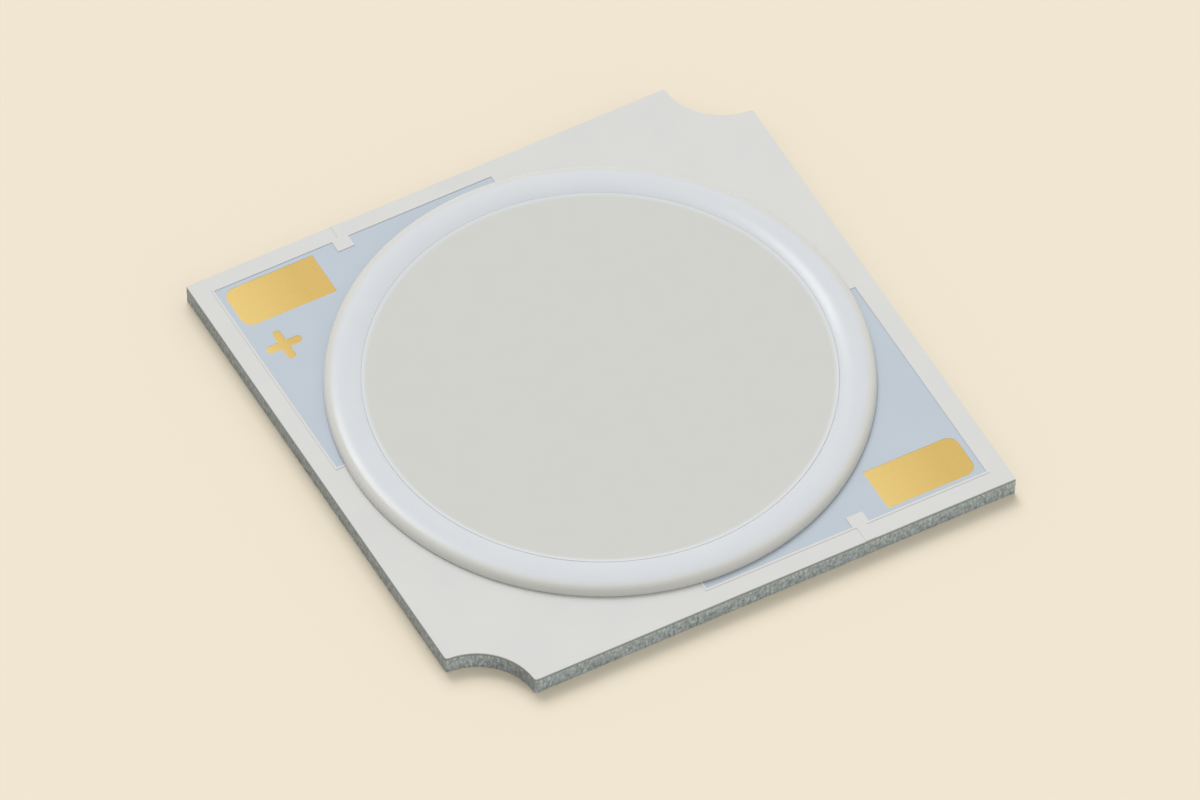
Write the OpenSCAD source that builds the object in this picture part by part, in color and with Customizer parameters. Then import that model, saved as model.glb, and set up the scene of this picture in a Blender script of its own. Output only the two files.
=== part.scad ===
// Chip-on-board LED on a square metal-core board.
// The origin is the centre of the board's underside, and light leaves along +Z.
// The anode corner lies at -X +Y and the cathode corner at +X -Y; the two other
// corners carry quarter-round notches for the holding screws.
// The build runs upwards: base plate, bonding film, laminate sheet, copper foils,
// two printed coats, plated contacts, dam bead, die strings, bond wires, phosphor.

/* [Board] */
// Side of the square board
board_side = 28; // [27.8:0.1:28.4]
// Thickness of the aluminium base plate
plate_t = 0.88; // [0.6:0.02:1.4]
// Thickness of the film that bonds the laminate to the plate
film_t = 0.025; // [0.02:0.005:0.04]
// Thickness of the laminate sheet that carries the copper
sheet_t = 0.07; // [0.06:0.01:0.1]
// Radius of the round window in film and sheet, where the dies sit on bare metal
window_r = 10.2; // [10.1:0.05:10.25]
// Radius of the two screw notches, centred on their corners
notch_r = 3; // [2.6:0.1:3.2]
// Radius of the blend between a notch and the board's side
notch_blend_r = 0.15; // [0.05:0.05:0.3]

/* [Copper] */
// Thickness of the copper foil
foil_t = 0.035; // [0.02:0.005:0.07]
// Reach of the visible corner panels from the board's centre, along X
panel_reach_x = 13.02; // [12.95:0.01:13.2]
// Reach of the visible corner panels from the board's centre, along Y
panel_reach_y = 13.07; // [12.95:0.01:13.2]
// How far the anode panel runs past the centre line, along X
anode_tail_x = 1.45; // [0.5:0.05:3]
// Where the anode panel stops short of the centre line, along Y
anode_stop_y = 1.19; // [0.4:0.01:3]
// How far the cathode panel runs past the centre line, along X
cathode_tail_x = 1.55; // [0.5:0.05:3]
// Where the cathode panel stops short of the centre line, along Y
cathode_stop_y = 0.66; // [0.4:0.01:3]
// Inner radius of the collector arcs around the window
arc_inner_r = 10.35; // [10.3:0.01:10.4]
// Outer radius of the collector arcs, hidden by the dam
arc_outer_r = 12.2; // [11.6:0.1:12.4]
// Half of the angle that each collector arc spans
arc_half_span = 54; // [52:1:60]
// Width of the plating bars that run out to the board's edge
bar_w = 0.42; // [0.3:0.02:0.5]
// Distance of the plating bars from the board's centre line, along X
bar_x = 6.35; // [6.2:0.05:6.5]
// Sideways shift of both bars under the print
bar_shift_x = 0.11; // [-0.15:0.01:0.15]

/* [Printed coats] */
// Thickness of the first coat on bare laminate
first_field_t = 0.03; // [0.02:0.005:0.03]
// Thickness of the first coat over copper
first_over_t = 0.02; // [0.015:0.005:0.03]
// Thickness of the second coat
second_t = 0.03; // [0.02:0.005:0.04]
// Width of the copper's edge that the second coat covers
copper_rim = 0.06; // [0.04:0.01:0.1]
// Width of the step where a coat climbs over a copper edge
coat_step = 0.03; // [0.02:0.01:0.05]
// Width of the second coat's tab around a plating bar
tab_w = 0.86; // [0.7:0.02:1]
// Distance of the tabs from the board's centre line, along X
tab_x = 6.45; // [6.3:0.05:6.6]
// Distance of the tabs' inner ends from the board's centre line, along Y
tab_end_y = 12.44; // [12.35:0.01:12.7]
// Shift of the copper and print along +Y against the punched outline
print_shift_y = 0.08; // [-0.1:0.01:0.1]

/* [Contacts] */
// Thickness of the nickel and gold plating
plating_t = 0.01; // [0.005:0.005:0.015]
// Length of a solder pad along X
pad_length = 4.7; // [4:0.1:4.8]
// Width of a solder pad along Y
pad_width = 2.4; // [2:0.1:2.6]
// Distance of a pad's centre from the board's centre, along X
pad_x = 10.38; // [10.2:0.02:10.5]
// Distance of a pad's centre from the board's centre, along Y
pad_y = 11.64; // [11.5:0.02:11.7]
// Radius of a pad's two outer corners
pad_corner_r = 0.55; // [0.2:0.05:1]
// Centre of the plus mark, as distances from the board's centre along -X and +Y
mark_centre = [11.68, 8.77]; // [8:0.01:12]
// Overall span of the plus mark
mark_span = 1.8; // [1.4:0.1:2]
// Line width of the plus mark
mark_line = 0.42; // [0.3:0.02:0.6]
// Inner radius of the plated strips that take the bond wires
strip_inner_r = 10.43; // [10.42:0.01:10.5]
// Outer radius of the plated strips
strip_outer_r = 10.68; // [10.6:0.01:10.7]
// Half of the angle that each plated strip spans
strip_half_span = 51; // [50:1:51]

/* [Dam] */
// Radius of the dam's inner foot
dam_inner_r = 10.75; // [10.72:0.01:10.85]
// Radius of the dam's outer foot
dam_outer_r = 12.7; // [12.5:0.05:12.8]
// Radius at which the dam is highest
dam_crest_r = 11.8; // [11.7:0.05:11.9]
// Height of the dam above the second coat
dam_h = 0.55; // [0.5:0.01:0.65]
// Radius of the dam's crown across the bead
crown_r = 3; // [2.5:0.1:3.5]
// Radius of the dam's inner shoulder
inner_shoulder_r = 0.3; // [0.25:0.01:0.35]
// Radius of the dam's outer shoulder
outer_shoulder_r = 0.4; // [0.3:0.01:0.45]
// Depth of the phosphor's level below the line where it wets the dam
meniscus_h = 0.03; // [0.01:0.01:0.05]
// Radius of the phosphor's curve up to the dam
meniscus_r = 1.5; // [0.5:0.1:3]

/* [Dies and wires] */
// Number of parallel die strings
string_count = 12; // [6:1:12]
// Number of dies in series in each string
die_count = 12; // [6:1:12]
// Distance between neighbouring strings
string_pitch = 1.45; // [1.3:0.01:1.45]
// Radius of the circle that the strings fill
array_r = 9.75; // [9.5:0.05:9.8]
// Side of a square die
die_side = 0.65; // [0.5:0.01:0.7]
// Thickness of a die
die_t = 0.14; // [0.1:0.01:0.16]
// Distance of a die's two contacts from its centre, along the string
contact_offset = 0.22; // [0.18:0.01:0.24]
// Radius of a bond wire
wire_r = 0.015; // [0.0125:0.0025:0.02]
// Rise of a bond wire's loop above its ends
loop_rise = 0.12; // [0.08:0.01:0.15]
// Radius of the ball at each end of a bond wire
ball_r = 0.04; // [0.03:0.005:0.05]
// Height of the ball at each end of a bond wire
ball_h = 0.035; // [0.035:0.005:0.05]

/* [Hidden] */
$fn = 96;

ANODE = -1;
CATHODE = 1;

// Levels of the layers above the board's underside
film_z = plate_t;
sheet_z = film_z + film_t;
foil_z = sheet_z + sheet_t;
plating_z = foil_z + foil_t;
first_field_z = foil_z + first_field_t;
first_over_z = plating_z + first_over_t;
second_field_z = first_field_z + second_t;
second_over_z = first_over_z + second_t;
bond_strip_top = plating_z + plating_t;
die_top = plate_t + die_t;

// Arcs of the dam's section: crown, inner shoulder and outer shoulder
crown_c = [dam_crest_r, second_field_z + dam_h - crown_r];
inner_c = shoulder_centre(dam_inner_r + inner_shoulder_r, inner_shoulder_r);
outer_c = shoulder_centre(dam_outer_r - outer_shoulder_r, outer_shoulder_r);
inner_touch = crown_c + crown_r * unit(inner_c - crown_c);
outer_touch = crown_c + crown_r * unit(outer_c - crown_c);
crown_ray = 2 * dam_h;

// The phosphor's level, and where its flat top turns up towards the dam
phosphor_top = inner_touch[1] - meniscus_h;
meniscus_run = sqrt(pow(meniscus_r, 2) - pow(meniscus_r - meniscus_h, 2));
flat_top_r = inner_touch[0] - meniscus_run;

// Height of a bond wire's end above the contact under it, which it doesn't touch
wire_seat = wire_r + 0.003;
strip_mid_r = (strip_inner_r + strip_outer_r) / 2;

function name_of(stem, j) = str(stem, j < 10 ? "0" : "", j);

function unit(v) = v / norm(v);

// Centre of a shoulder arc at radius x that touches the crown from inside
function shoulder_centre(x, r) =
    [x, crown_c[1] + sqrt(pow(crown_r - r, 2) - pow(x - dam_crest_r, 2))];

// Angle of a vector in the plane
function angle_of(v) = atan2(v[1], v[0]);

// Offset of string j (counted from 1) from the array's centre line
function string_y(j) = (j - (string_count + 1) / 2) * string_pitch;

// Centre of die i (counted from 1) along string j
function die_pitch(j) = 2 * sqrt(pow(array_r, 2) - pow(string_y(j), 2)) / die_count;
function die_x(i, j) = (i - (die_count + 1) / 2) * die_pitch(j);

// Where string j meets the middle of a plated strip
function strip_x(j) = sqrt(pow(strip_mid_r, 2) - pow(string_y(j), 2));

// Ends of wire i of string j as [along the string, height]: wire 0 starts on the
// anode strip, and the last wire ends on the cathode strip
function wire_start(i, j) =
    i == 0 ? [-strip_x(j), bond_strip_top] : [die_x(i, j) + contact_offset, die_top];
function wire_end(i, j) =
    i == die_count ? [strip_x(j), bond_strip_top] : [die_x(i + 1, j) - contact_offset, die_top];

// ---- Flat outlines ----

// A pie slice of a circle between two angles
module sector(r, from, to) {
    reach = 2 * r;
    middle = (from + to) / 2;
    intersection() {
        circle(r);
        polygon([[0, 0],
                 reach * [cos(from), sin(from)],
                 reach * [cos(middle), sin(middle)],
                 reach * [cos(to), sin(to)]]);
    }
}

// What the notch blend takes off the sharp corner between notch and side
module blend_cut() {
    corner = board_side / 2;
    reach = notch_r + notch_blend_r;
    c = [corner - sqrt(pow(reach, 2) - pow(notch_blend_r, 2)), corner - notch_blend_r];
    difference() {
        polygon([c, [c[0], corner + 1], [corner, corner + 1], [corner, corner]]);
        translate(c) circle(notch_blend_r);
    }
}

// The screw notch in the +X +Y corner
module notch() {
    corner = board_side / 2;
    translate([corner, corner]) circle(notch_r);
    blend_cut();
    mirror([1, -1]) blend_cut();
}

module board_outline() {
    difference() {
        square(board_side, center = true);
        notch();
        rotate(180) notch();
    }
}

// The copper's place under one corner panel, or with grow = 0 what shows of it
module panel(side, grow) {
    tail = side == ANODE ? anode_tail_x : cathode_tail_x;
    stop = side == ANODE ? anode_stop_y : cathode_stop_y;
    size = [panel_reach_x + tail, panel_reach_y - stop];
    centre = [side * (panel_reach_x - tail) / 2, -side * (panel_reach_y + stop) / 2];
    translate(centre + [0, print_shift_y]) square(size + 2 * [grow, grow], center = true);
}

// Half of a flat ring on one side of the board, between two radii
module arc(side, inner, outer, half_span) {
    facing = side == ANODE ? 135 : -45;
    difference() {
        sector(outer, facing - half_span, facing + half_span);
        circle(inner);
    }
}

// The plating bar, from inside the panel to the board's edge
module bar(side, grow) {
    root = panel_reach_y - 0.3;
    length = board_side / 2 - root;
    translate([side * bar_x + bar_shift_x, -side * (root + length / 2)])
        square([bar_w + 2 * grow, length], center = true);
}

// Copper on one side: corner panel, collector arc around the window, plating bar
module foil_outline(side, grow) {
    difference() {
        panel(side, copper_rim + grow);
        circle(arc_inner_r - grow);
    }
    arc(side, arc_inner_r - grow, arc_outer_r + grow, arc_half_span + grow * 5);
    bar(side, grow);
}

// Rectangle with its two outer corners rounded, the anode's turned outwards to -X
module pad_outline(side) {
    half = [pad_length, pad_width] / 2;
    translate([side * pad_x, -side * pad_y + print_shift_y]) scale([side, 1]) {
        translate([-half[0], -half[1]]) square([pad_length - pad_corner_r, pad_width]);
        translate([-half[0], pad_corner_r - half[1]])
            square([pad_length, pad_width - 2 * pad_corner_r]);
        for (end = [-1, 1])
            translate([half[0] - pad_corner_r, end * (half[1] - pad_corner_r)])
                circle(pad_corner_r);
    }
}

// Cross of two lines with round ends
module plus_outline() {
    reach = (mark_span - mark_line) / 2;
    translate([-mark_centre[0], mark_centre[1] + print_shift_y])
        for (turn = [0, 90]) rotate(turn) {
            square([2 * reach, mark_line], center = true);
            for (end = [-1, 1]) translate([end * reach, 0]) circle(mark_line / 2);
        }
}

// Plated strip on a collector arc, just inside the dam
module strip_outline(side) {
    arc(side, strip_inner_r, strip_outer_r, strip_half_span);
}

// ---- Layers and blankets ----

module slab(from, to) {
    translate([0, 0, from]) linear_extrude(to - from) children();
}

// A printed coat as if it filled everything below it: a field level over bare
// laminate, and a higher level that laps each copper edge by the given distance
module blanket(field, over, lap) {
    slab(foil_z, field) board_outline();
    for (side = [ANODE, CATHODE]) slab(foil_z, over) foil_outline(side, lap);
}

module first_blanket() {
    blanket(first_field_z, first_over_z, coat_step);
}

// Both coats with the second coat's openings, but not yet their round window
module coats_filled() {
    difference() {
        blanket(second_field_z, second_over_z, 2 * coat_step);
        for (side = [ANODE, CATHODE]) slab(foil_z, second_over_z + 1) panel_opening(side);
    }
    first_blanket();
}

// What the second coat leaves open: a corner panel less the tab around its bar
module panel_opening(side) {
    difference() {
        panel(side, 0);
        translate([side * tab_x, -side * (tab_end_y + 1) + print_shift_y])
            square([tab_w, 2], center = true);
    }
}

module coat_window() {
    slab(0, second_over_z + 1) circle(dam_inner_r);
}

// ---- Dam section ----

// The dam's round-shouldered section, from the given level up
module dam_section(base_z) {
    polygon([[dam_inner_r, base_z], [dam_outer_r, base_z], [dam_outer_r, outer_c[1]],
             outer_c, outer_touch, inner_touch, inner_c, [dam_inner_r, inner_c[1]]]);
    translate(outer_c) sector(outer_shoulder_r, 0, angle_of(outer_touch - outer_c));
    translate(inner_c) sector(inner_shoulder_r, angle_of(inner_touch - inner_c), 180);
    intersection() {
        translate(crown_c) circle(crown_r);
        polygon([inner_touch, outer_touch,
                 outer_touch + crown_ray * unit(outer_touch - crown_c),
                 inner_touch + crown_ray * unit(inner_touch - crown_c)]);
    }
}

// The phosphor's section: it fills up to the dam's inner face and wets it
module phosphor_section() {
    difference() {
        polygon([[0, plate_t], [dam_inner_r, plate_t], [dam_inner_r, inner_c[1]],
                 inner_c, inner_touch, [flat_top_r, inner_touch[1]],
                 [flat_top_r, phosphor_top], [0, phosphor_top]]);
        translate(inner_c) circle(inner_shoulder_r);
        translate([flat_top_r, phosphor_top + meniscus_r]) circle(meniscus_r);
    }
}

// ---- Board pieces ----

module base_plate() {
    color([0.60, 0.62, 0.61]) slab(0, plate_t) board_outline();
}

module bonding_film() {
    color([0.52, 0.50, 0.40]) slab(film_z, sheet_z) difference() {
        board_outline();
        circle(window_r);
    }
}

module insulation_sheet() {
    color([0.86, 0.86, 0.82]) slab(sheet_z, foil_z) difference() {
        board_outline();
        circle(window_r);
    }
}

module foil(side) {
    color([0.78, 0.46, 0.30]) slab(foil_z, plating_z) foil_outline(side, 0);
}

module anode_foil() {
    foil(ANODE);
}

module cathode_foil() {
    foil(CATHODE);
}

// First coat: over laminate and copper, open at the contacts and inside the dam
module first_coat() {
    color([0.77, 0.81, 0.84]) difference() {
        first_blanket();
        for (side = [ANODE, CATHODE]) {
            slab(0, plating_z) foil_outline(side, 0);
            slab(0, second_over_z) pad_outline(side);
        }
        slab(0, second_over_z) plus_outline();
        coat_window();
    }
}

// Second coat: everywhere except the corner panels and inside the dam
module second_coat() {
    color([0.87, 0.87, 0.85]) difference() {
        blanket(second_field_z, second_over_z, 2 * coat_step);
        first_blanket();
        for (side = [ANODE, CATHODE]) slab(foil_z, second_over_z + 1) panel_opening(side);
        coat_window();
    }
}

module plating() {
    color([0.86, 0.70, 0.42]) slab(plating_z, plating_z + plating_t) children();
}

module anode_pad() {
    plating() pad_outline(ANODE);
}

module cathode_pad() {
    plating() pad_outline(CATHODE);
}

module plus_mark() {
    plating() plus_outline();
}

module anode_bond_strip() {
    plating() strip_outline(ANODE);
}

module cathode_bond_strip() {
    plating() strip_outline(CATHODE);
}

// ---- Light-emitting area ----

// Dispensed bead whose underside follows both coats
module dam_ring() {
    color([0.89, 0.90, 0.91]) difference() {
        rotate_extrude() dam_section(foil_z);
        coats_filled();
    }
}

// Cast silicone: fills the window, covers dies, wires and bond strips
module phosphor_fill() {
    color([0.82, 0.82, 0.80]) difference() {
        rotate_extrude() phosphor_section();
        slab(0, foil_z) difference() {
            circle(dam_outer_r);
            circle(window_r);
        }
        for (side = [ANODE, CATHODE]) {
            slab(0, plating_z) arc(side, arc_inner_r, arc_outer_r, arc_half_span);
            slab(0, bond_strip_top) strip_outline(side);
        }
        for (j = [1 : string_count]) {
            dies(j);
            wires(j) square(2 * wire_r, center = true);
        }
    }
}

// Turns a string's own axis to run from the anode corner to the cathode corner
module along_string(j) {
    rotate(-45) translate([0, string_y(j)]) children();
}

module dies(j) {
    along_string(j)
        for (i = [1 : die_count])
            translate([die_x(i, j), 0, plate_t + die_t / 2])
                cube([die_side, die_side, die_t], center = true);
}

// A looped wire in the XZ plane between two contacts, with a ball on each; its
// section is the child, so that the same loop gives the wire and the slot it lies in
module wire(start, end) {
    chord = norm(end - start);
    radius = (pow(chord / 2, 2) + pow(loop_rise, 2)) / (2 * loop_rise);
    sweep = 2 * asin(chord / 2 / radius);
    middle = (start + end) / 2;
    translate([middle[0], 0, middle[1] + wire_seat])
        rotate([0, -angle_of(end - start), 0])
            translate([0, 0, loop_rise - radius])
                rotate([90, 0, 0]) rotate(90 - sweep / 2)
                    rotate_extrude(angle = sweep) translate([radius, 0]) children();
    for (p = [start, end]) translate([p[0], 0, p[1]]) cylinder(h = ball_h, r = ball_r);
}

module wires(j) {
    along_string(j)
        for (i = [0 : die_count]) wire(wire_start(i, j), wire_end(i, j)) children();
}

module die_string(j) {
    color([0.55, 0.72, 0.86]) dies(j);
}

// Eight flats are round enough on wires this thin
module wire_string(j) {
    color([0.90, 0.72, 0.30]) wires(j) circle(wire_r, $fn = 8);
}

base_plate();
bonding_film();
insulation_sheet();
anode_foil();
cathode_foil();
first_coat();
second_coat();
anode_pad();
cathode_pad();
plus_mark();
anode_bond_strip();
cathode_bond_strip();
dam_ring();
phosphor_fill();
for (j = [1 : string_count]) {
    die_string(j);
    wire_string(j);
}
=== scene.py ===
# %% [markdown]
# # A chip-on-board lamp module, finished in Blender
#
# The object is a square aluminium board, 28 mm on a side. A ring of white
# silicone stands on it, and the ring is filled with a grey-white silicone that
# covers rows of tiny light-emitting dies. Two corners carry gold contact pads,
# and the other two are notched for screws.
#
# The construction already exists as a CAD model. This lesson loads it, leaves its
# sizes alone, and gives it what a construction model lacks: a punched edge,
# softened print layers, a dispensed bead and believable finishes.

import math

import bmesh
import bpy
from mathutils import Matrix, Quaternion, Vector, geometry, noise


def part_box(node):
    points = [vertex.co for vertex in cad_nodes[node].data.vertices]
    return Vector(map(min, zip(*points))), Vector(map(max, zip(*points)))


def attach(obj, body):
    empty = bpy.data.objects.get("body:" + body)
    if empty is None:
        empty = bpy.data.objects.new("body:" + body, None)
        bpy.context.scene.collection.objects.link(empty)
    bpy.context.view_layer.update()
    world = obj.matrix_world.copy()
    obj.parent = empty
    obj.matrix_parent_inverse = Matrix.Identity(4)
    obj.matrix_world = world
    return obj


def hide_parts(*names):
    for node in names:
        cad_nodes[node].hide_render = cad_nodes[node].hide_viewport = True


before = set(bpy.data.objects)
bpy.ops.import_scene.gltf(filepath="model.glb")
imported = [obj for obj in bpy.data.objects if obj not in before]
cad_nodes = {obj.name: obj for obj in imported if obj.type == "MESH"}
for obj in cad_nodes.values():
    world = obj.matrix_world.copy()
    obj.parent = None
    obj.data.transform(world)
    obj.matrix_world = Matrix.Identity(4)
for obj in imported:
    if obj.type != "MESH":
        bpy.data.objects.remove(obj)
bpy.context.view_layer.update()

# %% [markdown]
# Blender counts in metres and this board is thin, so nearly every size below is a
# fraction of a millimetre. Writing `0.35 * MM` keeps such numbers readable.
#
# Colours are easiest to judge as the 0 to 255 values of a screen, but a shader
# wants linear light. One small function converts them.

# %% Millimetres and screen colours
MM = 0.001


def screen_colour(red, green, blue):
    """The linear colour of a screen colour given as three numbers up to 255."""
    linear = []
    for value in (red, green, blue):
        share = value / 255
        if share <= 0.04045:
            linear.append(share / 12.92)
        else:
            linear.append(((share + 0.055) / 1.055) ** 2.4)
    return (*linear, 1.0)


ROOM_BEIGE = screen_colour(240, 229, 208)
print("room colour in linear light:", [round(c, 3) for c in ROOM_BEIGE[:3]])

# %% [markdown]
# ## Camera
#
# A small flat part looks best from far away through a long lens, so
# that opposite edges stay almost parallel. The camera stands in front of the
# board's left side and looks down at about fifty degrees, with a very slight
# tilt of the camera itself. A long lens needs a distance of one and a half
# metres here, although the board is under three centimetres wide.

# %% Place the camera
camera = bpy.data.objects.new("camera", bpy.data.cameras.new("camera"))
bpy.context.scene.collection.objects.link(camera)
bpy.context.scene.camera = camera

turn = math.radians(-29.13)
rise = math.radians(50.54)
tilt = math.radians(0.67)
distance = 1.527
aim = Vector((-0.30 * MM, -0.54 * MM, 0.52 * MM))

backwards = Vector(
    (
        math.sin(turn) * math.cos(rise),
        -math.cos(turn) * math.cos(rise),
        math.sin(rise),
    )
)
camera.location = aim + backwards * distance
camera.rotation_mode = "QUATERNION"
camera.rotation_quaternion = backwards.to_track_quat("Z", "Y") @ Quaternion((0, 0, 1), tilt)
camera.data.lens = 1000
camera.data.sensor_width = 36
camera.data.clip_start = 0.1
camera.data.clip_end = 20
print("camera height:", round(camera.location.z, 3), "m")

# %% [markdown]
# ## Light
#
# White silicone and gold look best under one broad lamp and an even surround. The
# main lamp is a sun with a wide disc, which gives the soft edge of a studio
# softbox but lights every spot of the floor alike. It stands high behind the
# board, so the near walls and the ring's near flank fall into shade. Its mirror
# image would fall on the gold pads and bleach them, so mirror rays don't see it,
# and a small weak lamp beside it draws the highlight on the ring instead. A low
# lamp keeps the front wall a little lighter than the left one.
#
# The world supplies the rest. Its light is neutral. Camera, mirror and
# transmission rays see the room's beige instead, so that gold mirrors the room.

# %% Lamps
def add_sun(name, towards, share, width):
    """A wide sun whose light gives `share` of a level surface's own colour."""
    lamp = bpy.data.objects.new(name, bpy.data.lights.new(name, "SUN"))
    bpy.context.scene.collection.objects.link(lamp)
    direction = Vector(towards).normalized()
    lamp.rotation_mode = "QUATERNION"
    lamp.rotation_quaternion = direction.to_track_quat("Z", "Y")
    lamp.data.angle = math.radians(width)
    lamp.data.energy = math.pi * share / direction.z
    print(name, "strength", round(lamp.data.energy, 2))
    return lamp


softbox = add_sun("softbox_behind", (0.12, 0.57, 0.80), 0.36, 42)
softbox.visible_glossy = False
add_sun("glint_behind", (0.03, 0.555, 0.83), 0.065, 12)
add_sun("fill_front_right", (0.40, -0.87, 0.30), 0.02, 50)

# %% World
world = bpy.data.worlds.new("studio")
bpy.context.scene.world = world
bpy.context.scene.view_settings.view_transform = "Standard"
world.use_nodes = True
world_tree = world.node_tree
world_tree.nodes.clear()
surround = world_tree.nodes.new("ShaderNodeBackground")
surround.inputs["Color"].default_value = (1.0, 1.0, 1.0, 1.0)
surround.inputs["Strength"].default_value = 0.57
room = world_tree.nodes.new("ShaderNodeBackground")
room.inputs["Color"].default_value = ROOM_BEIGE
room.inputs["Strength"].default_value = 1.0


def seen_directly(tree):
    """A socket that is 1 for camera, mirror and transmission rays."""
    rays = tree.nodes.new("ShaderNodeLightPath")
    mirror = tree.nodes.new("ShaderNodeMath")
    mirror.operation = "MAXIMUM"
    tree.links.new(rays.outputs["Is Camera Ray"], mirror.inputs[0])
    tree.links.new(rays.outputs["Is Glossy Ray"], mirror.inputs[1])
    through = tree.nodes.new("ShaderNodeMath")
    through.operation = "MAXIMUM"
    tree.links.new(mirror.outputs[0], through.inputs[0])
    tree.links.new(rays.outputs["Is Transmission Ray"], through.inputs[1])
    return through.outputs[0]


world_mix = world_tree.nodes.new("ShaderNodeMixShader")
world_out = world_tree.nodes.new("ShaderNodeOutputWorld")
world_tree.links.new(seen_directly(world_tree), world_mix.inputs[0])
world_tree.links.new(surround.outputs[0], world_mix.inputs[1])
world_tree.links.new(room.outputs[0], world_mix.inputs[2])
world_tree.links.new(world_mix.outputs[0], world_out.inputs["Surface"])
print("world surround strength", surround.inputs["Strength"].default_value)

# %% [markdown]
# ## Floor
#
# The board lies on a matt table. The table reaches far beyond the picture, and
# sits a hair under the board so that the two faces don't fight. It is beige where
# it is looked at, and a neutral pale grey for the light that it throws back, which
# keeps the white silicone free of a yellow cast.

# %% Table
floor_mesh = bpy.data.meshes.new("table")
floor_build = bmesh.new()
bmesh.ops.create_circle(floor_build, cap_ends=True, radius=6.0, segments=96)
floor_build.to_mesh(floor_mesh)
floor_build.free()
floor = bpy.data.objects.new("table", floor_mesh)
bpy.context.scene.collection.objects.link(floor)
floor.location.z = -0.004 * MM

table_finish = bpy.data.materials.new("table_beige")
table_finish.use_nodes = True
table_tree = table_finish.node_tree
table_shader = table_tree.nodes["Principled BSDF"]
table_shader.inputs["Roughness"].default_value = 1.0
table_shader.inputs["Specular IOR Level"].default_value = 0.0
table_colour = table_tree.nodes.new("ShaderNodeMix")
table_colour.data_type = "RGBA"
table_colour.inputs[6].default_value = (0.78, 0.77, 0.75, 1.0)
table_colour.inputs[7].default_value = ROOM_BEIGE
table_tree.links.new(seen_directly(table_tree), table_colour.inputs[0])
table_tree.links.new(table_colour.outputs[2], table_shader.inputs["Base Color"])
floor_mesh.materials.append(table_finish)
print("table top at", round(1000 * floor.location.z, 3), "mm")

# %% [markdown]
# ## Finishes
#
# Every finish below is a Principled shader with three things added: a colour that
# drifts a little, a roughness that drifts with it, and a fine bump. Object
# coordinates are in metres, so a pattern that repeats once a millimetre has a
# scale of 1000. A few helpers keep each finish short.

# %% Helpers for finishes
def new_finish(name, colour, roughness, metallic=0.0):
    """A material with a Principled shader, as (material, tree, shader)."""
    finish = bpy.data.materials.new(name)
    finish.use_nodes = True
    shader = finish.node_tree.nodes["Principled BSDF"]
    shader.inputs["Base Color"].default_value = colour
    shader.inputs["Roughness"].default_value = roughness
    shader.inputs["Metallic"].default_value = metallic
    finish.diffuse_color = colour
    return finish, finish.node_tree, shader


def grain(tree, per_mm, detail=3.0, stretch=(1, 1, 1)):
    """A noise value with `per_mm` patches to the millimetre."""
    place = tree.nodes.new("ShaderNodeTexCoord")
    scale = tree.nodes.new("ShaderNodeMapping")
    scale.inputs["Scale"].default_value = stretch
    pattern = tree.nodes.new("ShaderNodeTexNoise")
    pattern.inputs["Scale"].default_value = per_mm / MM
    pattern.inputs["Detail"].default_value = detail
    tree.links.new(place.outputs["Object"], scale.inputs["Vector"])
    tree.links.new(scale.outputs["Vector"], pattern.inputs["Vector"])
    return pattern.outputs[0]


def spread_between(tree, value, low, high, start=0.3, stop=0.7):
    """Maps a noise value to the range from `low` to `high`."""
    span = tree.nodes.new("ShaderNodeMapRange")
    span.inputs["From Min"].default_value = start
    span.inputs["From Max"].default_value = stop
    span.inputs["To Min"].default_value = low
    span.inputs["To Max"].default_value = high
    tree.links.new(value, span.inputs["Value"])
    return span.outputs["Result"]


def blend_colours(tree, value, first, second):
    """A colour that goes from `first` to `second` as the noise value rises."""
    mix = tree.nodes.new("ShaderNodeMix")
    mix.data_type = "RGBA"
    mix.inputs[6].default_value = first
    mix.inputs[7].default_value = second
    tree.links.new(spread_between(tree, value, 0.0, 1.0), mix.inputs[0])
    return mix.outputs[2]


def add_bump(tree, shader, value, height, strength=1.0):
    """Raises the surface by up to `height` where the noise value is high."""
    bump = tree.nodes.new("ShaderNodeBump")
    bump.inputs["Distance"].default_value = height
    bump.inputs["Strength"].default_value = strength
    tree.links.new(value, bump.inputs["Height"])
    tree.links.new(bump.outputs["Normal"], shader.inputs["Normal"])


def multiplied(tree, first, second):
    """The product of two colours."""
    mix = tree.nodes.new("ShaderNodeMix")
    mix.data_type = "RGBA"
    mix.blend_type = "MULTIPLY"
    mix.inputs[0].default_value = 1.0
    tree.links.new(first, mix.inputs[6])
    tree.links.new(second, mix.inputs[7])
    return mix.outputs[2]


def distance_from_middle(tree):
    """How far a point is from the middle of the board, in metres."""
    place = tree.nodes.new("ShaderNodeTexCoord")
    length = tree.nodes.new("ShaderNodeVectorMath")
    length.operation = "LENGTH"
    tree.links.new(place.outputs["Object"], length.inputs[0])
    return length.outputs["Value"]


print("finish helpers ready")

# %% [markdown]
# ### Solder masks
#
# The board is printed twice with white solder mask. Where only the first print
# covers the copper, the metal shows through and turns the white into a cool
# blue-grey. The second print hides it everywhere else. Both are matt inks with a
# faint orange-peel surface, so the bump is broad and very shallow.

# %% Solder mask finishes
def mask_finish(name, colour, second_colour, roughness):
    finish, tree, shader = new_finish(name, colour, roughness)
    clouds = grain(tree, 0.35, 4.0)
    specks = grain(tree, 9.0, 2.0)
    tone = blend_colours(tree, clouds, colour, second_colour)
    tree.links.new(tone, shader.inputs["Base Color"])
    tree.links.new(
        spread_between(tree, specks, roughness - 0.06, roughness + 0.06),
        shader.inputs["Roughness"],
    )
    shader.inputs["Specular IOR Level"].default_value = 0.35
    add_bump(tree, shader, specks, 0.0012 * MM, 0.8)
    return finish


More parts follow.
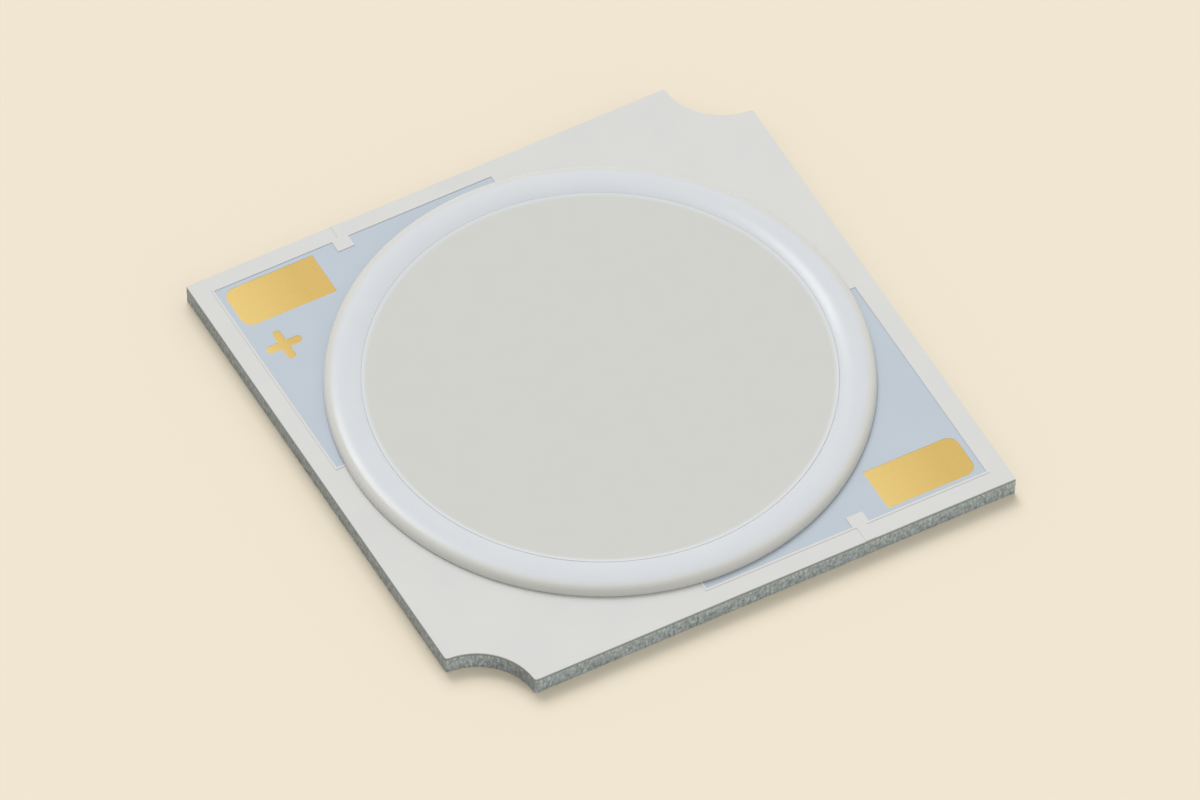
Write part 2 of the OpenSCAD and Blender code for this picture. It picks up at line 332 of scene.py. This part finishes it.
WHITE_INK = (screen_colour(217, 217, 215), screen_colour(214, 215, 213))
GREY_INK = (screen_colour(188, 198, 208), screen_colour(191, 201, 211))
white_mask = mask_finish("white_mask", *WHITE_INK, roughness=0.55)
grey_mask = mask_finish("grey_mask", *GREY_INK, roughness=0.50)
print("masks:", white_mask.name, grey_mask.name)

# %% [markdown]
# ### Silicones
#
# Two silicones fill the middle. The bead is glossy enough to show a soft
# highlight, and light travels a little way into it, which is what subsurface
# scattering gives. Over the outermost part of its radius its white is painted
# darker and warmer: painted shade at the foot, with a painted reflection of the
# beige table. The cast fill is loaded with phosphor powder, so it is matt, and its
# surface has the fine mottling of settled powder. Over the last fifth of a
# millimetre of its radius, where it climbs the bead in a lip, it is painted a
# brighter white, a painted highlight along the lip.

# %% Bead silicone
BEAD_WHITE = (screen_colour(215, 219, 223), screen_colour(213, 217, 222))
# Painted shade and a painted reflection of the beige table: the bead's foot is darker and warmer.
FOOT_SHADE_AND_REFLECTION = screen_colour(211, 211, 206)
BEAD_FOOT_SHADE_ZONE = (12.25 * MM, 12.55 * MM)

bead_silicone, bead_tree, bead_shader = new_finish("bead_silicone", BEAD_WHITE[0], 0.30)
bead_clouds = grain(bead_tree, 0.5, 3.0)
# Mixes the cloudy white with the painted shade and reflection at the foot.
bead_tone_and_foot_shade = bead_tree.nodes.new("ShaderNodeMix")
bead_tone_and_foot_shade.data_type = "RGBA"
bead_tree.links.new(
    spread_between(bead_tree, distance_from_middle(bead_tree), 0.0, 1.0, *BEAD_FOOT_SHADE_ZONE),
    bead_tone_and_foot_shade.inputs[0],
)
bead_tree.links.new(blend_colours(bead_tree, bead_clouds, *BEAD_WHITE), bead_tone_and_foot_shade.inputs[6])
bead_tone_and_foot_shade.inputs[7].default_value = FOOT_SHADE_AND_REFLECTION
bead_tree.links.new(bead_tone_and_foot_shade.outputs[2], bead_shader.inputs["Base Color"])
bead_gloss = spread_between(bead_tree, bead_clouds, 0.22, 0.27)
bead_tree.links.new(bead_gloss, bead_shader.inputs["Roughness"])
bead_shader.inputs["Subsurface Weight"].default_value = 0.25
bead_shader.inputs["Subsurface Radius"].default_value = (1.0, 0.95, 0.9)
bead_shader.inputs["Subsurface Scale"].default_value = 0.25 * MM
add_bump(bead_tree, bead_shader, grain(bead_tree, 2.5, 2.0), 0.002 * MM, 0.6)
print("bead:", bead_silicone.name)

# %% Fill silicone
FILL_GREY = (screen_colour(208, 209, 204), screen_colour(207, 208, 203))
FILL_MEAN = screen_colour(206, 207, 202)
# Painted highlight: a brighter white along the lip where the fill meets the bead.
LIP_HIGHLIGHT_WHITE = screen_colour(217, 220, 222)
LIP_HIGHLIGHT_ZONE = (10.80 * MM, 10.98 * MM)

fill_silicone, fill_tree, fill_shader = new_finish("fill_silicone", FILL_MEAN, 0.62)
fill_clouds = grain(fill_tree, 0.8, 5.0)
# Mixes the mottled grey with the painted highlight along the lip.
fill_tone_and_lip_highlight = fill_tree.nodes.new("ShaderNodeMix")
fill_tone_and_lip_highlight.data_type = "RGBA"
fill_tree.links.new(
    spread_between(fill_tree, distance_from_middle(fill_tree), 0.0, 1.0, *LIP_HIGHLIGHT_ZONE),
    fill_tone_and_lip_highlight.inputs[0],
)
fill_tree.links.new(blend_colours(fill_tree, fill_clouds, *FILL_GREY), fill_tone_and_lip_highlight.inputs[6])
fill_tone_and_lip_highlight.inputs[7].default_value = LIP_HIGHLIGHT_WHITE
fill_tree.links.new(fill_tone_and_lip_highlight.outputs[2], fill_shader.inputs["Base Color"])
fill_powder = grain(fill_tree, 14.0, 3.0)
fill_sheen = spread_between(fill_tree, fill_powder, 0.56, 0.68)
fill_tree.links.new(fill_sheen, fill_shader.inputs["Roughness"])
fill_shader.inputs["Specular IOR Level"].default_value = 0.3
add_bump(fill_tree, fill_shader, fill_powder, 0.0015 * MM, 0.7)
print("fill:", fill_silicone.name)

# %% [markdown]
# ### Gold
#
# The pads are plated, which leaves a fine crystalline satin rather than a mirror.
# A painted reflection makes each pad paler towards one end. Generated
# coordinates run from 0 to 1 across a piece, whatever its size, so one gradient
# fits both pads and the plus mark.

# %% Gold finish
GOLD_MEAN = screen_colour(230, 206, 138)
# Painted reflection: each piece is paler at one end and deeper towards the other.
GOLD_REFLECTION_PALE_END = screen_colour(226, 205, 141)
GOLD_REFLECTION_DEEP_END = screen_colour(211, 187, 121)
GOLD_REFLECTION_DEEP_FROM = 0.75

gold_plate, gold_tree, gold_shader = new_finish("gold_plate", GOLD_MEAN, 0.36, 1.0)
gold_place = gold_tree.nodes.new("ShaderNodeTexCoord")
gold_axes = gold_tree.nodes.new("ShaderNodeSeparateXYZ")
gold_tree.links.new(gold_place.outputs["Generated"], gold_axes.inputs[0])
# The ramp along each piece paints the reflection's gradient.
gold_reflection_ramp = gold_tree.nodes.new("ShaderNodeValToRGB")
reflection_pale_stop, reflection_deep_stop = gold_reflection_ramp.color_ramp.elements
reflection_pale_stop.position, reflection_pale_stop.color = 0.0, GOLD_REFLECTION_PALE_END
reflection_deep_stop.position, reflection_deep_stop.color = GOLD_REFLECTION_DEEP_FROM, GOLD_REFLECTION_DEEP_END
gold_tree.links.new(gold_axes.outputs["X"], gold_reflection_ramp.inputs["Fac"])
gold_specks = grain(gold_tree, 11.0, 4.0)
gold_shade = blend_colours(gold_tree, gold_specks, (1.0, 1.0, 1.0, 1.0), (0.97, 0.96, 0.94, 1.0))
gold_tone_and_reflection = multiplied(gold_tree, gold_reflection_ramp.outputs["Color"], gold_shade)
gold_tree.links.new(gold_tone_and_reflection, gold_shader.inputs["Base Color"])
gold_satin = spread_between(gold_tree, gold_specks, 0.34, 0.42)
gold_tree.links.new(gold_satin, gold_shader.inputs["Roughness"])
add_bump(gold_tree, gold_shader, gold_specks, 0.0006 * MM, 0.5)
print("gold:", gold_plate.name)

# %% [markdown]
# ### Aluminium
#
# The underside is rolled sheet, with fine lines along one direction. The walls
# are what a punch leaves: duller metal, with streaks in the direction that the
# punch travelled. So the two get different finishes on the same piece, one with
# its grain stretched along X, and one with its grain stretched along Z. The wall
# that faces left is painted darker, a painted shade.

# %% Rolled aluminium
SHEET_MEAN = (0.60, 0.62, 0.62, 1.0)
DULL_SHEET = (0.55, 0.57, 0.57, 1.0)
BRIGHT_SHEET = (0.66, 0.68, 0.68, 1.0)

rolled_aluminium, rolled_tree, rolled_shader = new_finish("rolled_aluminium", SHEET_MEAN, 0.38, 1.0)
rolled_lines = grain(rolled_tree, 6.0, 4.0, stretch=(0.02, 1.0, 1.0))
rolled_tone = blend_colours(rolled_tree, rolled_lines, DULL_SHEET, BRIGHT_SHEET)
rolled_tree.links.new(rolled_tone, rolled_shader.inputs["Base Color"])
rolled_sheen = spread_between(rolled_tree, rolled_lines, 0.30, 0.46)
rolled_tree.links.new(rolled_sheen, rolled_shader.inputs["Roughness"])
add_bump(rolled_tree, rolled_shader, rolled_lines, 0.002 * MM, 0.5)
print("rolled sheet:", rolled_aluminium.name)

# %% Punched aluminium
WALL_MEAN = (0.46, 0.50, 0.50, 1.0)
DARK_STREAK = (0.33, 0.39, 0.41, 1.0)
PALE_STREAK = (0.80, 0.90, 0.95, 1.0)
DARK_GRAIN = (0.58, 0.58, 0.58, 1.0)
PALE_GRAIN = (1.0, 1.0, 1.0, 1.0)
# Painted shade for the walls that face left.
LEFT_WALL_SHADE = (0.68, 0.67, 0.67, 1.0)

punched_aluminium, punched_tree, punched_shader = new_finish("punched_aluminium", WALL_MEAN, 0.55, 0.55)
punched_streaks = grain(punched_tree, 8.0, 4.0, stretch=(1.0, 1.0, 0.45))
punched_grains = grain(punched_tree, 16.0, 3.0)
punched_tone = multiplied(
    punched_tree,
    blend_colours(punched_tree, punched_streaks, DARK_STREAK, PALE_STREAK),
    blend_colours(punched_tree, punched_grains, DARK_GRAIN, PALE_GRAIN),
)
punched_facing = punched_tree.nodes.new("ShaderNodeNewGeometry")
punched_axes = punched_tree.nodes.new("ShaderNodeSeparateXYZ")
punched_tree.links.new(punched_facing.outputs["True Normal"], punched_axes.inputs[0])
# Painted shade: walls whose normal points to -X are multiplied by a darker grey.
punched_left_shade = punched_tree.nodes.new("ShaderNodeMix")
punched_left_shade.data_type = "RGBA"
punched_left_shade.blend_type = "MULTIPLY"
left_wall_shade_mask = spread_between(punched_tree, punched_axes.outputs["X"], 1.0, 0.0, -0.9, -0.4)
punched_tree.links.new(left_wall_shade_mask, punched_left_shade.inputs[0])
punched_tree.links.new(punched_tone, punched_left_shade.inputs[6])
punched_left_shade.inputs[7].default_value = LEFT_WALL_SHADE
punched_tree.links.new(punched_left_shade.outputs[2], punched_shader.inputs["Base Color"])
punched_sheen = spread_between(punched_tree, punched_grains, 0.45, 0.68)
punched_tree.links.new(punched_sheen, punched_shader.inputs["Roughness"])
add_bump(punched_tree, punched_shader, punched_grains, 0.006 * MM, 0.8)
print("punched wall:", punched_aluminium.name)

# %% [markdown]
# ### Laminate, film, copper, dies and wires
#
# These lie between the metal and the print, or inside the fill. Only the edges of
# the laminate and its bonding film are ever seen, as one olive line under the
# white print. The others still get a finish of their own, so that the model is
# whole if someone cuts it open.

# %% Inner finishes
laminate_finish, laminate_tree, laminate_shader = new_finish("laminate", screen_colour(150, 152, 140), 0.6)
laminate_fibres = grain(laminate_tree, 11.0, 3.0, stretch=(1.0, 1.0, 2.5))
OLIVE_RESIN = (screen_colour(132, 136, 122), screen_colour(164, 167, 154))
laminate_tree.links.new(
    blend_colours(laminate_tree, laminate_fibres, *OLIVE_RESIN),
    laminate_shader.inputs["Base Color"],
)
add_bump(laminate_tree, laminate_shader, laminate_fibres, 0.004 * MM, 0.7)

film_finish, film_tree, film_shader = new_finish("bond_film", screen_colour(120, 124, 110), 0.45)
film_clouds = grain(film_tree, 6.0, 3.0)
film_tree.links.new(
    blend_colours(film_tree, film_clouds, screen_colour(108, 112, 98), screen_colour(132, 136, 122)),
    film_shader.inputs["Base Color"],
)
add_bump(film_tree, film_shader, film_clouds, 0.003 * MM, 0.6)

copper_finish, copper_tree, copper_shader = new_finish("copper_foil", (0.87, 0.50, 0.36, 1.0), 0.40, 1.0)
copper_grain = grain(copper_tree, 8.0, 4.0)
copper_tree.links.new(
    blend_colours(copper_tree, copper_grain, (0.82, 0.44, 0.30, 1.0), (0.92, 0.58, 0.44, 1.0)),
    copper_shader.inputs["Base Color"],
)
add_bump(copper_tree, copper_shader, copper_grain, 0.002 * MM, 0.5)

die_finish, die_tree, die_shader = new_finish("die_sapphire", (0.55, 0.66, 0.78, 1.0), 0.15)
die_grain = grain(die_tree, 12.0, 2.0)
die_tree.links.new(
    blend_colours(die_tree, die_grain, (0.46, 0.58, 0.72, 1.0), (0.64, 0.74, 0.84, 1.0)),
    die_shader.inputs["Base Color"],
)
die_shader.inputs["Coat Weight"].default_value = 0.4
add_bump(die_tree, die_shader, die_grain, 0.001 * MM, 0.4)

wire_finish, wire_tree, wire_shader = new_finish("gold_wire", (1.0, 0.77, 0.34, 1.0), 0.22, 1.0)
wire_grain = grain(wire_tree, 30.0, 2.0)
wire_tree.links.new(
    blend_colours(wire_tree, wire_grain, (0.95, 0.70, 0.28, 1.0), (1.0, 0.82, 0.42, 1.0)),
    wire_shader.inputs["Base Color"],
)
add_bump(wire_tree, wire_shader, wire_grain, 0.0005 * MM, 0.4)
print("inner finishes ready")

# %% Dress the inner CAD nodes
INNER_FINISHES = {
    "bonding_film": film_finish,
    "insulation_sheet": laminate_finish,
    "anode_foil": copper_finish,
    "cathode_foil": copper_finish,
    "anode_bond_strip": gold_plate,
    "cathode_bond_strip": gold_plate,
    "die_string": die_finish,
    "wire_string": wire_finish,
}
dressed = 0
for node_name, node in cad_nodes.items():
    for start, finish in INNER_FINISHES.items():
        if node_name.startswith(start):
            for material_slot in node.material_slots:
                material_slot.material = finish
            dressed += 1
print(dressed, "inner nodes dressed")

# %% [markdown]
# ## The punched core
#
# A punch cuts sheet metal in stages. It first drags the top edge down into a
# slight roll, then shears a smooth band, and the rest tears and leaves a rough
# wall that leans inwards. None of this is on the CAD plate, which has plumb walls.
#
# The outline is read from the CAD plate, so that notches and corners stay where
# they are. Rings of points are then stacked from the bottom face to the top face,
# each set back by the amount that its height asks for. The two flat faces have
# notches in them, so they are cut into triangles by a routine that keeps to the
# outline, rather than left as one face with many corners.

# %% Read an outline from a flat CAD face
WELD_DISTANCE = 0.0001 * MM


def flat_outlines(node_name, height):
    """Closed outlines of a node's flat faces at one height, the longest first."""
    mesh = bmesh.new()
    mesh.from_mesh(cad_nodes[node_name].data)
    bmesh.ops.remove_doubles(mesh, verts=mesh.verts, dist=WELD_DISTANCE)
    level = {
        face
        for face in mesh.faces
        if abs(face.normal.z) > 0.99
        and all(abs(vert.co.z - height) < 0.0005 * MM for vert in face.verts)
    }
    rim = {edge for edge in mesh.edges if sum(face in level for face in edge.link_faces) == 1}
    outlines = []
    while rim:
        edge = rim.pop()
        first, here = edge.verts
        points = [first.co.to_2d()]
        while here is not first:
            points.append(here.co.to_2d())
            edge = next(other for other in here.link_edges if other in rim)
            rim.remove(edge)
            here = edge.other_vert(here)
        outlines.append(points)
    mesh.free()
    return sorted(outlines, key=outline_length, reverse=True)


def outline_length(points):
    return sum((points[i] - points[i - 1]).length for i in range(len(points)))


plate_low, plate_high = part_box("base_plate")
board_outline = flat_outlines("base_plate", plate_low.z)[0]
print("board outline:", round(1000 * outline_length(board_outline), 1), "mm round")

# %% Space the points evenly and find the way inwards
def even_points(points, step):
    """Splits long stretches so that no two points are further apart than `step`."""
    area = sum(points[i - 1].cross(points[i]) for i in range(len(points)))
    if area < 0:
        points = points[::-1]
    dense = []
    for i, start in enumerate(points):
        stop = points[(i + 1) % len(points)]
        pieces = max(1, math.ceil((stop - start).length / step))
        dense += [start.lerp(stop, k / pieces) for k in range(pieces)]
    return dense


def inward_directions(points):
    """At each point of an outline, the unit vector towards its inside."""
    directions = []
    for i in range(len(points)):
        along = (points[(i + 1) % len(points)] - points[i - 1]).normalized()
        directions.append(Vector((-along.y, along.x)))
    return directions


wall_points = even_points(board_outline, 0.07 * MM)
wall_inwards = inward_directions(wall_points)
print(len(wall_points), "points round the wall")

# %% How far the wall is set back
PLATE_THICKNESS = plate_high.z - plate_low.z

# Rings lie closer together where the wall curves, at its foot and its top edge.
FOOT_RINGS = [0, 0.015, 0.04, 0.08]
EVEN_RINGS = [round(0.13 + 0.05 * k, 2) for k in range(14)]
EDGE_RINGS = [0.82, 0.85, 0.87, 0.88]
WALL_HEIGHTS = FOOT_RINGS + EVEN_RINGS + EDGE_RINGS

# Heights of the wall's stages and depths of their marks, all in mm.
TORN_TOP = 0.60
TORN_BLEND = 0.15
ROLL_START = 0.78
ROLL_HEIGHT = 0.10
BURR_HEIGHT = 0.05
STREAK_DEPTH = 0.004
TEAR_LEAST = 0.012
TEAR_DEPTH = 0.020
BURR_DEPTH = 0.030
ROLL_DEPTH = 0.022


def wall_setback(point, height_mm):
    """Distance in mm between the CAD wall and the punched one."""
    x, y = 1000 * point.x, 1000 * point.y
    streak = 0.5 + 0.5 * noise.noise(Vector((x * 7, y * 7, height_mm * 1.2)))
    tear = 0.5 + 0.5 * noise.fractal(Vector((x * 11, y * 11, height_mm * 9)), 0.8, 2.0, 3)
    torn = max(0.0, min(1.0, (TORN_TOP - height_mm) / TORN_BLEND))
    setback = STREAK_DEPTH * streak + torn * (TEAR_LEAST + TEAR_DEPTH * tear)
    if height_mm < BURR_HEIGHT:
        setback += BURR_DEPTH * (1 - height_mm / BURR_HEIGHT) ** 2
    if height_mm > ROLL_START:
        setback += ROLL_DEPTH * ((height_mm - ROLL_START) / ROLL_HEIGHT) ** 2
    return setback


print("setback at the foot:", round(wall_setback(wall_points[0], 0.0), 3), "mm")

# %% Stack the rings into a closed plate
def link_mesh(name, build, finishes):
    """Turns a bmesh into an object in the scene."""
    bmesh.ops.recalc_face_normals(build, faces=build.faces)
    mesh = bpy.data.meshes.new(name)
    build.to_mesh(mesh)
    build.free()
    piece = bpy.data.objects.new(name, mesh)
    bpy.context.scene.collection.objects.link(piece)
    for finish in finishes:
        mesh.materials.append(finish)
    return piece


def bridge_rings(build, rings, closed=False):
    """Fills the space between each ring of points and the next with four-sided faces."""
    count = len(rings[0])
    uppers = rings[1:] + rings[:1] if closed else rings[1:]
    for lower, upper in zip(rings, uppers):
        for i in range(count):
            j = (i + 1) % count
            build.faces.new((lower[i], lower[j], upper[j], upper[i])).smooth = True


core_build = bmesh.new()
core_rings = []
for height_mm in WALL_HEIGHTS:
    z = plate_low.z + min(height_mm * MM, PLATE_THICKNESS)
    ring = []
    for point, inwards in zip(wall_points, wall_inwards):
        place = point + inwards * (wall_setback(point, height_mm) * MM)
        ring.append(core_build.verts.new((place.x, place.y, z)))
    core_rings.append(ring)
bridge_rings(core_build, core_rings)
for ring in (core_rings[0], core_rings[-1]):
    flat = [1000 * vert.co.to_2d() for vert in ring]
    sides = [(i, (i + 1) % len(flat)) for i in range(len(flat))]
    for corners in geometry.delaunay_2d_cdt(flat, sides, [], 1, 0.00001)[2]:
        core_build.faces.new([ring[i] for i in corners]).material_index = 1
punched_core = link_mesh("punched_core", core_build, [punched_aluminium, rolled_aluminium])
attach(punched_core, "root")
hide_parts("base_plate")
print("punched core:", len(punched_core.data.polygons), "faces")

# %% [markdown]
# ## Printed masks
#
# Ink flows a little before it cures, so a printed step has no sharp corner. The
# CAD masks have the right steps, so each is copied, its loose triangles are welded
# to each other, and its steps get a narrow bevel. The bevel is less than a
# hundredth of a millimetre wide, yet it catches the light along the copper's edge.

# %% Soften a copy of a CAD node
def softened_copy(node_name, name, width, finishes):
    """A bevelled copy of a CAD node."""
    build = bmesh.new()
    build.from_mesh(cad_nodes[node_name].data)
    bmesh.ops.remove_doubles(build, verts=build.verts, dist=WELD_DISTANCE)
    for face in build.faces:
        face.material_index = 0
    piece = link_mesh(name, build, finishes)
    bevel = piece.modifiers.new("soft_edges", "BEVEL")
    bevel.width = width
    bevel.segments = 2
    bevel.limit_method = "ANGLE"
    bevel.angle_limit = math.radians(50)
    bevel.use_clamp_overlap = False
    bevel.harden_normals = True
    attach(piece, "root")
    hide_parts(node_name)
    print(name, len(piece.data.polygons), "faces before the bevel")
    return piece


first_mask = softened_copy("first_coat", "first_mask", 0.006 * MM, [grey_mask])
second_mask = softened_copy("second_coat", "second_mask", 0.008 * MM, [white_mask])

# %% [markdown]
# ## Gold pads and the plus mark
#
# These are thin plated plates sunk in the mask. They need the same treatment with
# an even narrower bevel.

# %% Pads
for node_name in ("anode_pad", "cathode_pad", "plus_mark"):
    plate = softened_copy(node_name, "plated_" + node_name, 0.003 * MM, [gold_plate])

# %% [markdown]
# ## The dispensed bead
#
# A needle lays the ring down in one turn. Its cross-section is a broad crown
# between two tighter shoulders, three arcs that run smoothly into each other. So
# the bead is a revolve: one section, turned round the middle in small steps. A
# laid bead is never perfectly even, so its width may drift by two hundredths of a
# millimetre, and its height by a little over one.

# %% Section of the bead
bead_low, bead_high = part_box("dam_ring")
BEAD_INNER = 10.75
BEAD_OUTER = 1000 * bead_high.x
BEAD_CREST = 11.8
CREST_HEIGHT = 1000 * bead_high.z
BEAD_FOOT = 1000 * bead_low.z
CROWN_RADIUS = 3.0
INNER_SHOULDER = 0.3
OUTER_SHOULDER = 0.4


def shoulder_centre(side_radius, shoulder, inner):
    """Centre of the shoulder arc that touches both the crown and the bead's side."""
    x = side_radius + shoulder if inner else side_radius - shoulder
    crown_z = CREST_HEIGHT - CROWN_RADIUS
    reach = CROWN_RADIUS - shoulder
    return x, crown_z + math.sqrt(reach**2 - (x - BEAD_CREST) ** 2)


def arc_points(centre, radius, start, stop, count):
    """Points on an arc, as (distance from the middle, height) in mm."""
    points = []
    for k in range(count + 1):
        angle = start + (stop - start) * k / count
        points.append((centre[0] + radius * math.cos(angle), centre[1] + radius * math.sin(angle)))
    return points


inner_centre = shoulder_centre(BEAD_INNER, INNER_SHOULDER, True)
outer_centre = shoulder_centre(BEAD_OUTER, OUTER_SHOULDER, False)
crown_centre = (BEAD_CREST, CREST_HEIGHT - CROWN_RADIUS)
inner_joint = math.atan2(inner_centre[1] - crown_centre[1], inner_centre[0] - crown_centre[0])
outer_joint = math.atan2(outer_centre[1] - crown_centre[1], outer_centre[0] - crown_centre[0])
bead_section = [(BEAD_INNER, BEAD_FOOT)]
bead_section += arc_points(inner_centre, INNER_SHOULDER, math.pi, inner_joint, 12)
bead_section += arc_points(crown_centre, CROWN_RADIUS, inner_joint, outer_joint, 18)[1:]
bead_section += arc_points(outer_centre, OUTER_SHOULDER, outer_joint, 0.0, 14)[1:]
bead_section += [(BEAD_OUTER, BEAD_FOOT)]
print(len(bead_section), "points in the section, crest at", round(CREST_HEIGHT, 3), "mm")

# %% Turn the section
BEAD_STEPS = 480
WIDTH_DRIFT = 0.02
HEIGHT_DRIFT = 0.012


def bead_drift(angle):
    """How much the bead is slimmer than its full size at one angle, from 0 to 1."""
    x, y = 2.2 * math.cos(angle), 2.2 * math.sin(angle)
    return 0.5 + 0.5 * noise.noise(Vector((x, y, 3.7)))


bead_build = bmesh.new()
bead_rings = [[] for _ in bead_section]
for step in range(BEAD_STEPS):
    angle = 2 * math.pi * step / BEAD_STEPS
    drift = bead_drift(angle)
    for ring, (radius, height) in zip(bead_rings, bead_section):
        across = (radius - BEAD_CREST) / (BEAD_OUTER - BEAD_CREST)
        upwards = (height - BEAD_FOOT) / (CREST_HEIGHT - BEAD_FOOT)
        radius -= WIDTH_DRIFT * drift * max(0.0, across)
        height -= HEIGHT_DRIFT * drift * upwards
        place = (radius * math.cos(angle) * MM, radius * math.sin(angle) * MM, height * MM)
        ring.append(bead_build.verts.new(place))
bridge_rings(bead_build, bead_rings, closed=True)
bead = link_mesh("dispensed_bead", bead_build, [bead_silicone])
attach(bead, "root")
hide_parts("dam_ring")
print("bead:", len(bead.data.polygons), "faces")

# %% [markdown]
# ## The cast fill
#
# The fill is poured liquid, so it lies flat and climbs the bead's inner side in a
# small curved lip. It is turned like the bead, from a section that starts at the
# middle, runs out flat, rises in the lip, and returns under the bead and down to
# the board.

# %% Section of the fill
fill_low, fill_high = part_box("phosphor_fill")
LIP_RADIUS = 1.5
LIP_HEIGHT = 0.03
LIP_TOP = 1000 * fill_high.z
FILL_LEVEL = LIP_TOP - LIP_HEIGHT
lip_end = 1000 * fill_high.x
lip_run = math.sqrt(LIP_RADIUS**2 - (LIP_RADIUS - LIP_HEIGHT) ** 2)
lip_start = lip_end - lip_run
print("flat to", round(lip_start, 3), "mm, lip ends at", round(lip_end, 3), "mm")

WINDOW_RADIUS = 10.2
COPPER_TOP = 1.01
LIP_STEPS = 10
fill_section = [(r, FILL_LEVEL) for r in (1.2, 2.4, 3.6, 4.8, 6.0, 7.2, 8.4, 9.4, 10.2)]
for step in range(LIP_STEPS + 1):
    run = lip_run * step / LIP_STEPS
    climb = LIP_RADIUS - math.sqrt(LIP_RADIUS**2 - run**2)
    fill_section.append((lip_start + run, FILL_LEVEL + climb))
touch_angle = math.atan2(LIP_TOP - inner_centre[1], lip_end - inner_centre[0])
fill_section += arc_points(inner_centre, INNER_SHOULDER, touch_angle, math.pi, 6)[1:]
fill_section += [(BEAD_INNER, COPPER_TOP), (WINDOW_RADIUS, COPPER_TOP)]
fill_section += [(WINDOW_RADIUS, 1000 * fill_low.z)]
print(len(fill_section), "points in the section of the fill")

# %% Turn the fill
fill_build = bmesh.new()
FILL_STEPS = 360
fill_rings = [[] for _ in fill_section]
for step in range(FILL_STEPS):
    angle = 2 * math.pi * step / FILL_STEPS
    for ring, (radius, height) in zip(fill_rings, fill_section):
        place = (radius * math.cos(angle) * MM, radius * math.sin(angle) * MM, height * MM)
        ring.append(fill_build.verts.new(place))
bridge_rings(fill_build, fill_rings)
for ring, height in ((fill_rings[0], FILL_LEVEL), (fill_rings[-1], 1000 * fill_low.z)):
    middle = fill_build.verts.new((0, 0, height * MM))
    for i in range(FILL_STEPS):
        fill_build.faces.new((middle, ring[i], ring[(i + 1) % FILL_STEPS])).smooth = True
fill = link_mesh("cast_fill", fill_build, [fill_silicone])
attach(fill, "root")
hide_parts("phosphor_fill")
print("fill:", len(fill.data.polygons), "faces")
